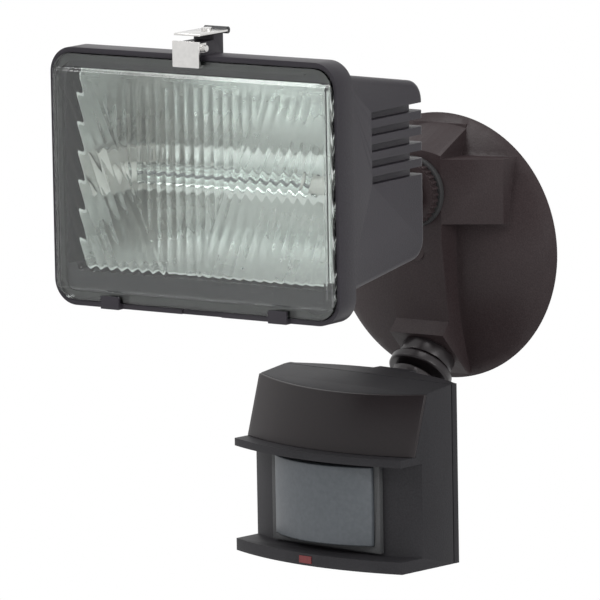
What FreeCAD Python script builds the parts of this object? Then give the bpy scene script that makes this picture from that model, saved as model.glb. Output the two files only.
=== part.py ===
"""Motion sensor security light: canopy, halogen lamp head on an arm, and a sensor on a ball joint.

Frame: millimetres, origin at the centre of the canopy's back face, +Z up, -Y away from the wall.
Every size is a cell of the sheet. A formula that uses a size's name is bound to that cell.
"""
import FreeCAD, Part
import os
import re
import Sketcher
from FreeCAD import Vector

SIZES = {
    # canopy
    "plate_r": 63.5, "rim_r": 60.3, "rim_rise": 2.0, "dome_rise": 13.8, "cast_wall": 2.8, "land_r": 51.0,
    "spine_w": 30.0, "spine_front": 25.2, "spine_waist": 19.6, "spine_top": 48.8, "spine_bend": 5.0,
    "spine_foot": 33.3, "cone_foot_r": 58.9, "boss_reach": 64.5, "side_low": 14.0,
    "side_high": 44.8, "side_out_x": 40.7, "side_out_y": 11.0, "gasket_in": 53.0, "gasket_out": 58.5, "gasket_t": 1.2,
    "strap_len": 98.0, "strap_w": 15.0, "strap_t": 1.6, "slot_span": 88.9, "slot_len": 8.0, "slot_r": 2.4,
    "bolt_r": 2.4, "bolt_head_r": 3.8, "bolt_head_t": 3.0, "plug_r": 4.4, "plug_t": 3.0, "post_r": 7.0,
    # arm
    "arm_z": 28.8, "washer_r": 17.0, "washer_t": 3.0, "ring_r": 16.0, "ring_t": 5.0, "ring_teeth": 34,
    "tooth_r": 0.9, "thread_r": 10.4, "arm_bore": 6.0, "arm_r": 9.0, "thread_len": 26.0, "thread_in": 10.0,
    "pivot_y": 98.0, "knuckle_r": 13.0, "knuckle_t": 9.5, "tilt_bolt_r": 3.0, "hex_r": 5.6, "hex_t": 4.5,
    "ear_washer_r": 7.0, "ear_washer_t": 1.2, "run_fit": 0.06, "rest_gap": 0.15,
    # lamp head, depth counted back from the frame's front plane
    "head_reach": 204.6, "head_z": 53.7, "frame_w": 158.0, "frame_h": 119.0, "frame_d": 13.0,
    "frame_corner": 12.0, "rim_side": 1.6, "rim_top": 2.4, "seat_d": 5.0,
    "shell_w": 150.5, "shell_top": 53.2, "shell_back_top": 43.2, "shell_bottom": 46.6,
    "shell_back_bottom": 36.8, "shell_d": 75.5, "shell_round": 10.0, "shell_wall": 3.0, "side_wall": 7.0,
    "fin_count": 5, "fin_pitch": 7.3, "fin_gap": 3.6, "fin_first": 32.0, "fin_start": 33.0,
    "fin_depth": 4.0, "foot_w": 34.0, "foot_h": 24.0, "foot_t": 4.0, "foot_z": -14.0,
    "glass_gap": 0.4, "glass_t": 4.0, "glass_proud": 1.0, "field_w": 144.0, "field_h": 91.0,
    "field_proud": 2.0, "prism_w": 3.0, "lens_seal_t": 1.9, "lens_seal_w": 3.0,
    "hook_x": 46.4, "hook_w": 10.0, "hook_lip": 1.4, "hook_cover": 3.3, "notch_w": 22.0,
    # latch
    "latch_w": 14.6, "latch_t": 1.2, "latch_front": 4.4, "latch_low": 54.1, "latch_top": 66.0,
    "pin_d": -0.4, "pin_z": 62.8, "pin_r": 1.5, "lug_w": 11.0, "lug_r": 2.6, "lug_back": 17.5,
    "leaf_z": 68.4, "leaf_t": 1.0, "leaf_front": -3.0, "leaf_back": 18.8, "roll_r": 1.6,
    # lamp
    "lamp_d": 27.0, "tube_r": 5.0, "tube_len": 96.0, "lamp_len": 118.0, "cap_r": 4.4, "filament_r": 0.8,
    "mirror_t": 0.6, "mirror_d": 46.0, "mirror_flat": 22.0, "mirror_top": 47.0, "mirror_low": 41.8,
    "mirror_front": 9.0, "mirror_w": 134.0, "holder_t": 8.0, "holder_h": 20.0, "holder_front": 18.0,
    "contact_r": 2.2, "screw_r": 1.8, "screw_head_r": 3.4, "screw_head_t": 2.0, "screw_len": 8.0,
    "mirror_post_x": 30.0, "mirror_post_r": 4.0, "holder_screw_z": 6.0,
    # sensor swivel, counted along the slanted axis from the lower boss
    "stem_drop": 49.8, "lock_nut_r": 13.3, "lock_nut_t": 6.8, "stem_ring_r": 15.4,
    "stem_ring_low": 8.2, "stem_ring_high": 13.1, "clamp_low": 15.0, "clamp_r": 13.2, "clamp_neck_r": 11.4,
    "clamp_high": 20.0, "ball_at": 20.0, "ball_r": 9.0, "stem_r": 6.6, "stem_bore": 4.0, "stem_in": 9.0,
    "collar_gap": 0.3,
    # sensor, from the top of its rear plane
    "yaw": -8.3, "sensor_w": 105.2, "sensor_h": 84.8, "sensor_ball_back": 27.9, "sensor_ball_down": 10.4,
    "parting": 3.9, "case_wall": 2.4, "top_fall": 6.5, "visor_end": 21.5, "visor_slant": 9.5,
    "bow": 10.8, "ledge_bow": 9.6, "ledge_z": 31.1, "ledge_t": 3.6, "ledge_end": 39.8, "sill_z": 79.1,
    "waist_end": 25.0, "waist_in": 31.5, "waist_half": 34.0, "lens_half": 30.5, "lens_end": 36.0,
    "lens_bow": 8.5, "lens_top": 37.2, "lens_low": 74.5, "lens_t": 1.4, "lens_frame_t": 3.0,
    "lens_frame_w": 3.5, "visor_t": 1.6, "part_gap": 0.6,
    "bulge_half": 11.0, "face_half": 10.0, "bulge_d": 13.0, "bulge_high": 0.2, "bulge_low": 31.0,
    "neck_r": 14.2, "post_x": 34.0, "post_in": 2.0, "led_x": 0.5, "led_w": 7.6,
    "led_h": 3.5, "board_w": 88.0, "board_high": 12.0, "board_low": 78.0, "board_t": 1.6, "board_at": 11.0, "pir_r": 4.6,
    "pir_t": 4.0, "relay_w": 19.0, "relay_h": 15.0, "relay_d": 6.5, "cap_can_r": 3.6, "cap_can_len": 9.0,
    "switch_x": -16.0, "switch_travel": 6.0, "switch_w": 5.0, "switch_d": 4.0, "switch_drop": 3.0,
    "knob_x": 18.0, "knob_r": 5.0, "knob_drop": 3.5, "control_at": 14.0, "cover_screw_x": 44.0,
    "cover_screw_low": 76.0, "cover_screw_high": 8.0,
}

FORMULAS = {
    "frame_x": "frame_w / 2", "frame_z": "frame_h / 2", "shell_x": "shell_w / 2",
    "open_x": "frame_w / 2 - rim_side", "open_z": "frame_h / 2 - rim_top",
    "glass_x": "open_x - glass_gap", "glass_z": "open_z - glass_gap", "glass_back": "glass_t - glass_proud",
    "cavity_x": "shell_x - side_wall", "cavity_back": "shell_d - side_wall - 2",
    "hub_front": "spine_front + washer_t + ring_t", "half_span": "slot_span / 2",
    "stem_out": "boss_reach - stem_drop", "seat_r": "frame_corner - 2", "sensor_x": "sensor_w / 2",
    "ball_y": "-stem_out - ball_at * cos(45)", "ball_z": "-stem_drop - ball_at * cos(45)",
    "collar_at": "clamp_high + collar_gap", "neck_back": "(ball_at - collar_at) * cos(45)",
    "neck_len": "(sensor_ball_back + neck_back) / cos(45) - neck_r + 2",
}

doc = FreeCAD.newDocument("SecurityLight")
sheet = doc.addObject("Spreadsheet::Sheet", "dims")
for row, (alias, size) in enumerate(SIZES.items(), start=1):
    sheet.set(f"A{row}", alias)
    sheet.set(f"B{row}", str(size))
    sheet.setAlias(f"B{row}", alias)
doc.recompute()
PIECES = []


def cells(formula):
    """Write a formula of size names as a formula of the sheet's cells."""
    def cell(found):
        name = found.group()
        if name in FORMULAS:
            return "(" + cells(FORMULAS[name]) + ")"
        return "dims." + name if name in SIZES else name
    return re.sub(r"[A-Za-z_]\w*", cell, str(formula))


def value(formula):
    """Work a formula out as a number."""
    return float(sheet.evalExpression(cells(formula)))


def bind(thing, **formulas):
    """Bind properties of an object to formulas."""
    for name, formula in formulas.items():
        thing.setExpression(name.replace("__", "."), cells(formula))


def place(thing, x="0", y="0", z="0", axis=(0, 0, 1), turn="0"):
    """Put an object at a point, turned about an axis, all bound to formulas."""
    across, along, up = axis
    base = f"vector({cells(x)}; {cells(y)}; {cells(z)})"
    thing.setExpression("Placement",
                        f"placement({base}; rotation(vector({across}; {along}; {up}); {cells(turn)}))")
    return thing


def in_head(thing, x="0", d="0", z="0", axis=(0, 0, 1), turn="0"):
    """Place an object from the lamp head's own origin, the middle of its front plane."""
    return place(thing, x, f"{d} - head_reach", f"{z} + head_z", axis, turn)


def in_sensor(thing):
    """Place an object that is drawn from the top of the sensor's rear plane, forward along -Y."""
    depth = "ball_y - sensor_ball_back * cos(yaw)"
    return place(thing, "sensor_ball_back * sin(yaw)", depth, "ball_z + sensor_ball_down", (0, 0, 1), "yaw")


def on_stem(thing, along="0"):
    """Place an object whose Z axis is the sensor's slanted stem, at a distance along it."""
    reach = f"({along}) * cos(45)"
    return place(thing, "0", f"-stem_out - {reach}", f"-stem_drop - {reach}", (1, 0, 0), "135")


def sound(feature):
    """Stop at the first feature that fails."""
    if "Invalid" in feature.State or "Error" in feature.State or feature.Shape.isNull():
        raise ValueError(f"{feature.Name} failed: {feature.State} {feature.getStatusString()}")
    return feature


def piece(label, thing):
    """Name a finished piece."""
    thing.Label = label
    PIECES.append(thing)
    return thing


def body(name):
    """Start a solid body."""
    return doc.addObject("PartDesign::Body", name)


def hold(drawing, item, point, x, y):
    """Fix a point of a sketch at formulas."""
    for kind, formula in (("DistanceX", x), ("DistanceY", y)):
        number = drawing.addConstraint(Sketcher.Constraint(kind, -1, 1, item, point, value(formula)))
        drawing.setExpression(f"Constraints[{number}]", cells(formula))


def ring_line(drawing, x, y, r):
    """Draw a circle."""
    item = drawing.addGeometry(Part.Circle(Vector(value(x), value(y), 0), Vector(0, 0, 1), value(r)), False)
    hold(drawing, item, 3, x, y)
    number = drawing.addConstraint(Sketcher.Constraint("Radius", item, value(r)))
    drawing.setExpression(f"Constraints[{number}]", cells(r))


def outline(drawing, points):
    """Draw a closed outline. A point with four formulas starts an arc through its last two."""
    spots = [Vector(value(point[0]), value(point[1]), 0) for point in points]
    items = []
    for number, point in enumerate(points):
        begin, end = spots[number], spots[(number + 1) % len(points)]
        if len(point) == 4:
            middle = Vector(value(point[2]), value(point[3]), 0)
            flipped = (middle - begin).cross(end - begin).z < 0
            arc = Part.Arc(end, middle, begin) if flipped else Part.Arc(begin, middle, end)
            item = drawing.addGeometry(arc, False)
            mark = drawing.addGeometry(Part.Point(middle), True)
            hold(drawing, mark, 1, point[2], point[3])
            drawing.addConstraint(Sketcher.Constraint("PointOnObject", mark, 1, item))
            items.append((item, 2, 1) if flipped else (item, 1, 2))
        else:
            items.append((drawing.addGeometry(Part.LineSegment(begin, end), False), 1, 2))
    for number, (item, start, finish) in enumerate(items):
        following, next_start, unused = items[(number + 1) % len(items)]
        drawing.addConstraint(Sketcher.Constraint("Coincident", item, finish, following, next_start))
        hold(drawing, item, start, points[number][0], points[number][1])


def sketch(owner, role, offset, shapes):
    """Draw outlines on one of a body's origin planes, at an offset along its normal."""
    plane = next(part for part in owner.Origin.OriginFeatures if part.Role == role)
    drawing = owner.newObject("Sketcher::SketchObject", "sketch")
    drawing.AttachmentSupport = [(plane, "")]
    drawing.MapMode = "FlatFace"
    drawing.setExpression("AttachmentOffset.Base.z", cells(offset))
    for shape in shapes:
        if shape[0] == "circle":
            ring_line(drawing, *shape[1:])
        else:
            outline(drawing, shape)
    doc.recompute()
    return sound(drawing)


def pad(owner, role, start, length, *shapes):
    """Add a prism that runs from start along the plane's normal."""
    feature = owner.newObject("PartDesign::Pad", "pad")
    feature.Profile = sketch(owner, role, start, shapes)
    bind(feature, Length=length)
    doc.recompute()
    return sound(feature)


def pocket(owner, role, end, length, *shapes):
    """Cut a prism that ends at end along the plane's normal and is length deep behind it."""
    before = owner.Shape.Volume
    feature = owner.newObject("PartDesign::Pocket", "pocket")
    feature.Profile = sketch(owner, role, end, shapes)
    bind(feature, Length=length)
    doc.recompute()
    if owner.Shape.Volume >= before:
        raise ValueError(f"{owner.Name}: a pocket cuts nothing")
    return feature


def turned(owner, role, points, angle="360", groove=False, back=False):
    """Turn an outline about the sketch's vertical axis, to add or to cut."""
    before = owner.Shape.Volume if groove else 0
    feature = owner.newObject("PartDesign::Groove" if groove else "PartDesign::Revolution", "turned")
    drawing = sketch(owner, role, "0", [points])
    feature.Profile = drawing
    feature.ReferenceAxis = (drawing, ["V_Axis"])
    feature.Reversed = back
    bind(feature, Angle=angle)
    doc.recompute()
    sound(feature)
    if groove and owner.Shape.Volume >= before:
        raise ValueError(f"{owner.Name}: a groove cuts nothing")
    return feature


def rounded(owner, radius, chosen):
    """Round the edges whose middle point and direction the test chooses."""
    names = []
    for number, edge in enumerate(owner.Shape.Edges, start=1):
        middle = edge.valueAt((edge.FirstParameter + edge.LastParameter) / 2)
        along = edge.tangentAt((edge.FirstParameter + edge.LastParameter) / 2)
        if chosen(middle, along):
            names.append(f"Edge{number}")
    before = owner.Tip
    feature = owner.newObject("PartDesign::Fillet", "fillet")
    feature.Base = (before, names)
    bind(feature, Radius=radius)
    doc.recompute()
    return sound(feature)


def box(x_low, x_high, y_low, y_high):
    """Give the corner points of a rectangle."""
    return [(x_low, y_low), (x_high, y_low), (x_high, y_high), (x_low, y_high)]


def round_box(half_x, half_y, r):
    """Give the outline of a rectangle about the origin with rounded corners."""
    shift = f"({r}) * (1 - cos(45))"
    x, y = f"({half_x})", f"({half_y})"
    return [(f"-{x} + {r}", f"-{y}"), (f"{x} - {r}", f"-{y}", f"{x} - {shift}", f"-{y} + {shift}"),
            (x, f"-{y} + {r}"), (x, f"{y} - {r}", f"{x} - {shift}", f"{y} - {shift}"),
            (f"{x} - {r}", y), (f"-{x} + {r}", y, f"-{x} + {shift}", f"{y} - {shift}"),
            (f"-{x}", f"{y} - {r}"), (f"-{x}", f"-{y} + {r}", f"-{x} + {shift}", f"-{y} + {shift}")]


def many_sided(radius, sides, x="0", y="0"):
    """Give the corner points of a regular outline."""
    step = 360 / sides
    return [(f"{x} + {radius} * cos({step * corner})", f"{y} + {radius} * sin({step * corner})")
            for corner in range(sides)]


def cylinder(name, radius, length):
    """Make a plain cylinder along Z."""
    rod = doc.addObject("Part::Cylinder", name)
    bind(rod, Radius=radius, Height=length)
    return rod


# ---- wall canopy -----------------------------------------------------------------------------------

def dome(radius, drop="0"):
    """Height of the canopy's dome at a radius, as a place along Y."""
    return f"-(dome_rise - {drop} - (dome_rise - rim_rise) * pow(({radius}) / rim_r; 2))"


plate = body("plate")
turned(plate, "XY_Plane", [
    ("0", f"{dome('0', 'cast_wall')}", "land_r / 2", dome("land_r / 2", "cast_wall")),
    ("land_r", dome("land_r", "cast_wall")), ("land_r", "0"), ("plate_r", "0"),
    ("rim_r", "-rim_rise", "rim_r / 2", dome("rim_r / 2")), ("0", "-dome_rise")])
spine_side = [
    ("-1", "cone_foot_r"), ("-spine_front", "cone_foot_r"),
    ("-spine_front", "spine_bend", "-(spine_front * 0.5 + spine_waist * 0.5)", "-spine_foot * 0.42"),
    ("-spine_waist", "-spine_foot"),
    ("-(boss_reach - spine_foot - spine_waist) / 2 - spine_waist",
     "-(boss_reach - spine_foot - spine_waist) / 2 - spine_foot"),
    ("-(boss_reach - plate_r + 3.2)", "-(plate_r - 3.2)"), ("-1", "-(plate_r - 3.2)")]
spine = pad(plate, "YZ_Plane", "-spine_w / 2", "spine_w", spine_side)
turned(plate, "XY_Plane", [("spine_top", "-spine_front"), ("spine_top", "-spine_front - 9"),
                           ("plate_r + 9", "-spine_front - 9"),
                           ("plate_r + 9", "-rim_rise - 0.6"), ("cone_foot_r",
                                                            "-rim_rise - 0.6")], "180", True, True)
side_boss = [("spine_w / 2 - 1", "-spine_front"), ("spine_w / 2", "-spine_front"),
             ("side_out_x", "-side_out_y"),
             ("side_out_x + 1.6", "-1"), ("spine_w / 2 - 1", "-1")]
mirror_boss = [("-1 * (" + x + ")", y) for x, y in side_boss]
pad(plate, "XY_Plane", "side_low", "side_high - side_low", side_boss)
pad(plate, "XY_Plane", "side_low", "side_high - side_low", mirror_boss)
# the hollow behind the spine and the side bosses
inner_side = [
    ("1", "side_high - cast_wall - 1"), ("-spine_front + cast_wall", "side_high - cast_wall - 1"),
    ("-spine_front + cast_wall", "spine_bend"), ("-spine_waist + cast_wall", "-spine_foot + 1"),
    ("-spine_waist + cast_wall", "-38"), ("-12", "-46"), ("1", "-46")]
pocket(plate, "YZ_Plane", "spine_w / 2 - cast_wall", "spine_w - cast_wall * 2", inner_side)
for mirror in ("", "-1 * "):
    hollow = [("11", "1"), ("11", "-spine_front + cast_wall + 1"), ("14", "-spine_front + cast_wall + 1"),
              ("33", "-spine_front + cast_wall + 20"), ("33", "1")]
    pocket(plate, "XY_Plane", "side_high - 6", "side_high - side_low - 6 - cast_wall",
           [(f"{mirror}({x})", y) for x, y in hollow])
pad(plate, "XZ_Plane", "spine_front - thread_in", "thread_in - cast_wall + 0.5",
    ("circle", "0", "arm_z", "thread_r + 3"))
pad(plate, "XZ_Plane", "bolt_head_t + 6", "spine_front - bolt_head_t - 6 - cast_wall + 0.5",
    ("circle", "0", "0", "post_r"))
pocket(plate, "XZ_Plane", "spine_front + 1", "thread_in + 2",
       ("circle", "0", "arm_z", "thread_r + run_fit"))
pocket(plate, "XZ_Plane", "spine_front + 1", "spine_front + 2", ("circle", "0", "0", "bolt_r + 0.3"))
pocket(plate, "XZ_Plane", "spine_front + 1", "plug_t + bolt_head_t + 2", ("circle", "0", "0", "plug_r"))
pocket(plate, "XZ_Plane", "strap_t + 0.5", "strap_t + 1.5",
       box("-strap_len / 2 - 0.5", "strap_len / 2 + 0.5", "-strap_w / 2 - 0.5", "strap_w / 2 + 0.5"))
seat = turned(plate, "XY_Plane", [("gasket_in", "1"), ("gasket_in", "-gasket_t"),
                                  ("gasket_out", "-gasket_t"), ("gasket_out", "1")],
              "360", True)
plate.Tip = seat
stem_hole = on_stem(cylinder("stem_hole", "stem_r + run_fit", "stem_in + 12"), "-stem_in - 6")
wall_plate = doc.addObject("Part::Cut", "wall_plate_cut")
wall_plate.Base, wall_plate.Tool = plate, stem_hole
piece("wall_plate", wall_plate)

gasket = body("gasket")
pad(gasket, "XZ_Plane", "0", "gasket_t", ("circle", "0", "0", "gasket_out"),
    ("circle", "0", "0", "gasket_in"))
piece("wall_gasket", gasket)

strap = body("strap")
pad(strap, "XZ_Plane", "0", "strap_t", box("-strap_len / 2", "strap_len / 2", "-strap_w / 2",
                                           "strap_w / 2"))
pocket(strap, "XZ_Plane", "strap_t + 1", "strap_t + 2", ("circle", "0", "0", "bolt_r"))
for side in ("-1", "1"):
    middle = f"{side} * half_span"
    left, right = f"{middle} - slot_len / 2 + slot_r", f"{middle} + slot_len / 2 - slot_r"
    slot = [(left, "-slot_r"), (right, "-slot_r", f"{right} + slot_r", "0"), (right, "slot_r"),
            (left, "slot_r", f"{left} - slot_r", "0")]
    pocket(strap, "XZ_Plane", "strap_t + 1", "strap_t + 2", slot)
piece("mounting_strap", strap)

bolt = body("bolt")
turned(bolt, "XY_Plane", [("0", "-0.2"), ("bolt_r", "-0.2"), ("bolt_r",
                                                            "-spine_front + plug_t + bolt_head_t + 1"),
                          ("bolt_head_r", "-spine_front + plug_t + bolt_head_t + 1"),
                          ("bolt_head_r", "-spine_front + plug_t + 1"), ("0", "-spine_front + plug_t + 1")])
piece("mounting_bolt", bolt)

plug = body("plug")
pad(plug, "XZ_Plane", "spine_front - plug_t - 0.6", "plug_t", ("circle", "0", "0", "plug_r"))
piece("bolt_plug", plug)

# ---- arm -------------------------------------------------------------------------------------------

washer = body("washer")
pad(washer, "XZ_Plane", "spine_front", "washer_t", ("circle", "0", "arm_z", "washer_r"),
    ("circle", "0", "arm_z", "thread_r + 0.5"))
piece("arm_washer", washer)

lock_ring = body("lock_ring")
pad(lock_ring, "XZ_Plane", "spine_front + washer_t", "ring_t", ("circle", "0", "0", "ring_r - tooth_r"),
    ("circle", "0", "0", "thread_r + run_fit"))
tooth = pad(lock_ring, "XZ_Plane", "spine_front + washer_t + 0.4", "ring_t - 0.8",
            [("ring_r - 1.6", "-tooth_r * 1.4"), ("ring_r", "-tooth_r / 2"), ("ring_r", "tooth_r / 2"),
             ("ring_r - 1.6", "tooth_r * 1.4")])
teeth = lock_ring.newObject("PartDesign::PolarPattern", "teeth")
teeth.Originals = [tooth]
teeth.Axis = (next(part for part in lock_ring.Origin.OriginFeatures if part.Role == "Y_Axis"), [""])
bind(teeth, Occurrences="ring_teeth")
lock_ring.Tip = teeth
place(lock_ring, "0", "0", "arm_z")
piece("arm_lock_nut", lock_ring)

arm = body("arm")
pad(arm, "XZ_Plane", "spine_front - thread_in + 1", "thread_len + thread_in",
    ("circle", "0", "0", "thread_r"))
pad(arm, "XZ_Plane", "hub_front + 4", "pivot_y - hub_front - knuckle_r - 6", ("circle", "0", "0", "arm_r"))
pad(arm, "YZ_Plane", "-knuckle_t", "knuckle_t - rest_gap", ("circle", "-pivot_y", "0", "knuckle_r"))
pad(arm, "YZ_Plane", "-knuckle_t", "knuckle_t - rest_gap", box("-pivot_y + 2", "-pivot_y + knuckle_r + 6",
                                                            "-arm_r + 1", "arm_r - 1"))
pocket(arm, "XZ_Plane", "pivot_y - knuckle_r - 8", "pivot_y", ("circle", "0", "0", "arm_bore"))
pocket(arm, "YZ_Plane", "1", "knuckle_t + 2", ("circle", "-pivot_y", "0", "tilt_bolt_r + run_fit"))
place(arm, "0", "0", "arm_z")
piece("lamp_arm", arm)

tilt_bolt = body("tilt_bolt_body")
pad(tilt_bolt, "YZ_Plane", "-knuckle_t - ear_washer_t - hex_t", "hex_t", many_sided("hex_r", 6))
pad(tilt_bolt, "YZ_Plane", "-knuckle_t - ear_washer_t", "knuckle_t * 2 + ear_washer_t * 2 + hex_t",
    ("circle", "0", "0", "tilt_bolt_r"))
place(tilt_bolt, "0", "-pivot_y", "arm_z")
piece("tilt_bolt", tilt_bolt)

tilt_nut = body("tilt_nut_body")
pad(tilt_nut, "YZ_Plane", "knuckle_t + ear_washer_t", "hex_t", many_sided("hex_r", 6),
    ("circle", "0", "0", "tilt_bolt_r"))
place(tilt_nut, "0", "-pivot_y", "arm_z")
piece("tilt_nut", tilt_nut)

for side, start in (("left", "-knuckle_t - ear_washer_t"), ("right", "knuckle_t")):
    disc = body(f"disc_{side}")
    pad(disc, "YZ_Plane", start, "ear_washer_t", ("circle", "0", "0", "ear_washer_r"),
        ("circle", "0", "0", "tilt_bolt_r"))
    place(disc, "0", "-pivot_y", "arm_z")
    piece(f"tilt_washer_{side}", disc)


# ---- lamp head: drawn with Y counted back from the frame's front plane -----------------------------

def slab(owner, near, far, *shapes):
    """Add a prism between two depths."""
    return pad(owner, "XZ_Plane", f"-({far})", f"{far} - ({near})", *shapes)


def bore(owner, near, far, *shapes):
    """Cut a prism between two depths."""
    return pocket(owner, "XZ_Plane", f"-({near})", f"{far} - ({near})", *shapes)


def shell_edge(outer, outer_back, depth):
    """Distance of the shell's sloping top or bottom wall from the lamp axis at a depth."""
    return f"{outer} - ({outer} - {outer_back}) * ({depth} - frame_d) / (shell_d - frame_d)"


def even_box(half_x, half_z):
    """Give the corner points of a rectangle about the lamp axis."""
    return box(f"-({half_x})", half_x, f"-({half_z})", half_z)


housing = body("housing")
slab(housing, "0", "frame_d", even_box("frame_x", "frame_z"))
rounded(housing, "frame_corner", lambda middle, along: abs(along.y) > 0.99)
pad(housing, "YZ_Plane", "-shell_x", "shell_w", [
    ("frame_d - 1", "shell_top"), ("shell_d", "shell_back_top"), ("shell_d", "-shell_back_bottom"),
    ("frame_d - 1", "-shell_bottom")])
rounded(housing, "shell_round", lambda middle,
        along: abs(along.x) > 0.99 and middle.y > value("shell_d") - 0.1)
rounded(housing, "shell_wall", lambda middle, along: abs(middle.x) > value("shell_x") - 0.1
        and middle.y > value("frame_d") + 1 and abs(along.x) < 0.1)
slab(housing, "pin_d", "lug_back", box("-lug_w / 2", "lug_w / 2", "frame_z - 1", "pin_z + lug_r"))
slab(housing, "lug_back - 7.5", "lug_back", box("-lug_w / 2", "lug_w / 2", "frame_z - 1", "leaf_z"))
pad(housing, "YZ_Plane", "-lug_w / 2", "lug_w", ("circle", "pin_d", "pin_z", "lug_r"))
for side in ("-1", "1"):
    left, right = f"{side} * hook_x - hook_w / 2", f"{side} * hook_x + hook_w / 2"
    slab(housing, "-glass_proud - 0.4 - hook_lip", "-glass_proud - 0.4",
         box(left, right, "-frame_z - 0.2", "-open_z + hook_cover"))
    slab(housing, "-glass_proud - 0.4 - hook_lip", "2", box(left, right, "-frame_z - 0.2", "-open_z - 0.1"))
bore(housing, "-1", "seat_d", round_box("open_x", "open_z", "seat_r"))
for side in ("-1", "1"):
    slab(housing, "-glass_proud - 0.4 - hook_lip", "-glass_proud - 0.4",
         box(f"{side} * hook_x - hook_w / 2", f"{side} * hook_x + hook_w / 2", "-frame_z - 0.2",
             "-open_z + hook_cover"))
inner_top, inner_low = "shell_top - shell_wall", "-(shell_bottom - shell_wall)"
bore(housing, "seat_d - 1", "fin_start - 3", box("-shell_x + shell_wall", "shell_x - shell_wall",
                                                 inner_low + " + 3",
                                                 inner_top + " - 3"))
back_top = shell_edge("shell_top", "shell_back_top", "cavity_back")
back_low = shell_edge("shell_bottom", "shell_back_bottom", "cavity_back")
pocket(housing, "YZ_Plane", "cavity_x", "cavity_x * 2", [
    ("seat_d - 1", inner_top), ("frame_d", inner_top), ("cavity_back", f"{back_top} - shell_wall"),
    ("cavity_back", f"-({back_low} - shell_wall)"), ("frame_d", inner_low), ("seat_d - 1", inner_low)])
bore(housing, "pin_d - 0.7", "1", box("-notch_w / 2 + 3", "notch_w / 2 + 3", "-frame_z - 1", "-open_z + 1"))
fin_outline = [("-shell_x - 5", "fin_start"), ("-shell_x + fin_depth", "fin_start"),
               ("-shell_x + fin_depth", "shell_d - fin_depth - 2"), ("shell_x - fin_depth",
                                                            "shell_d - fin_depth - 2"),
               ("shell_x - fin_depth", "fin_start"), ("shell_x + 5", "fin_start"), ("shell_x + 5",
                                                            "shell_d + 5"),
               ("-shell_x - 5", "shell_d + 5")]
for number in range(int(SIZES["fin_count"])):
    pocket(housing, "XY_Plane", f"fin_first + fin_gap / 2 - fin_pitch * {number}", "fin_gap", fin_outline)
for side in ("-1", "1"):
    slab(housing, "mirror_d + mirror_t", "cavity_back + 1", ("circle", f"{side} * mirror_post_x", "0",
                                                            "mirror_post_r"))
    bore(housing, "mirror_d", "mirror_d + screw_len", ("circle", f"{side} * mirror_post_x", "0", "screw_r"))
    bore(housing, "cavity_back - 1", "shell_d + 1", ("circle", f"{side} * foot_w / 3", "foot_z", "screw_r"))
last_cut = pocket(housing, "YZ_Plane", "lug_w / 2 + 1", "lug_w + 2",
                  ("circle", "pin_d", "pin_z", "pin_r + run_fit"))
in_head(housing)
piece("lamp_housing", housing)

knuckle_d, knuckle_z = "(head_reach - pivot_y)", "(arm_z - head_z)"
lug = body("lug")
slab(lug, "shell_d", "shell_d + foot_t", box("-foot_w / 2", "foot_w / 2", "foot_z - foot_h / 2",
                                             "foot_z + foot_h / 2"))
pad(lug, "YZ_Plane", "rest_gap", "knuckle_t - rest_gap", ("circle", knuckle_d, knuckle_z, "knuckle_r"))
pad(lug, "YZ_Plane", "rest_gap", "knuckle_t - rest_gap", [
    ("shell_d + 1", "foot_z + foot_h / 2 - 2"), ("shell_d + foot_t + 2", "foot_z + foot_h / 2 - 2"),
    (knuckle_d, f"{knuckle_z} + knuckle_r - 0.5"), (knuckle_d, f"{knuckle_z} - knuckle_r + 0.5"),
    ("shell_d + foot_t + 2", "foot_z - foot_h / 2 + 1"), ("shell_d + 1", "foot_z - foot_h / 2 + 1")])
pocket(lug, "YZ_Plane", "knuckle_t + 1", "knuckle_t + 2",
       ("circle", knuckle_d, knuckle_z, "tilt_bolt_r + run_fit"))
for side in ("-1", "1"):
    bore(lug, "shell_d - 1", "shell_d + foot_t + 1", ("circle", f"{side} * foot_w / 3", "foot_z",
                                                      "screw_r"))
in_head(lug)
piece("head_lug", lug)


def screw(name, seat_d, length):
    """Make a round-headed screw whose head seats at a depth."""
    turned_screw = body(name)
    turned(turned_screw, "XY_Plane", [
        ("0", f"{seat_d} - screw_head_t"), ("screw_head_r * 0.6", f"{seat_d} - screw_head_t"),
        ("screw_head_r", f"{seat_d} - screw_head_t * 0.4"), ("screw_head_r", seat_d), ("screw_r", seat_d),
        ("screw_r", f"{seat_d} + {length}"), ("0", f"{seat_d} + {length}")])
    return turned_screw


def screws(label, spots, seat_d, length, placer):
    """Make a group of like screws as one piece of separate solids."""
    made = []
    for number, (x, z) in enumerate(spots):
        one = screw(f"{label}_{number}", seat_d, length)
        place(one, x, "0", z)
        made.append(one)
    group = doc.addObject("Part::Compound", f"{label}_group")
    group.Links = made
    placer(group)
    return piece(label, group)


screws("lug_screws", [("-foot_w / 3", "foot_z"), ("foot_w / 3", "foot_z")], "cavity_back",
       "shell_d - cavity_back + foot_t",
       in_head)

seal = body("seal")
slab(seal, "seat_d - lens_seal_t", "seat_d", round_box("glass_x - 0.6", "glass_z - 0.6", "seat_r - 1"),
     round_box("glass_x - 0.6 - lens_seal_w", "glass_z - 0.6 - lens_seal_w", "seat_r - 1 - lens_seal_w"))
in_head(seal)
piece("lens_gasket", seal)

glass = body("glass")
slab(glass, "-glass_proud", "glass_back", round_box("glass_x", "glass_z", "seat_r - 0.4"))
slab(glass, "-glass_proud - field_proud / 2", "-glass_proud",
     even_box("field_w / 2 + prism_w", "field_h / 2 + prism_w"))
slab(glass, "-glass_proud - field_proud", "-glass_proud - field_proud / 2",
     even_box("field_w / 2", "field_h / 2"))
in_head(glass)
piece("glass_lens", glass)

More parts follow.
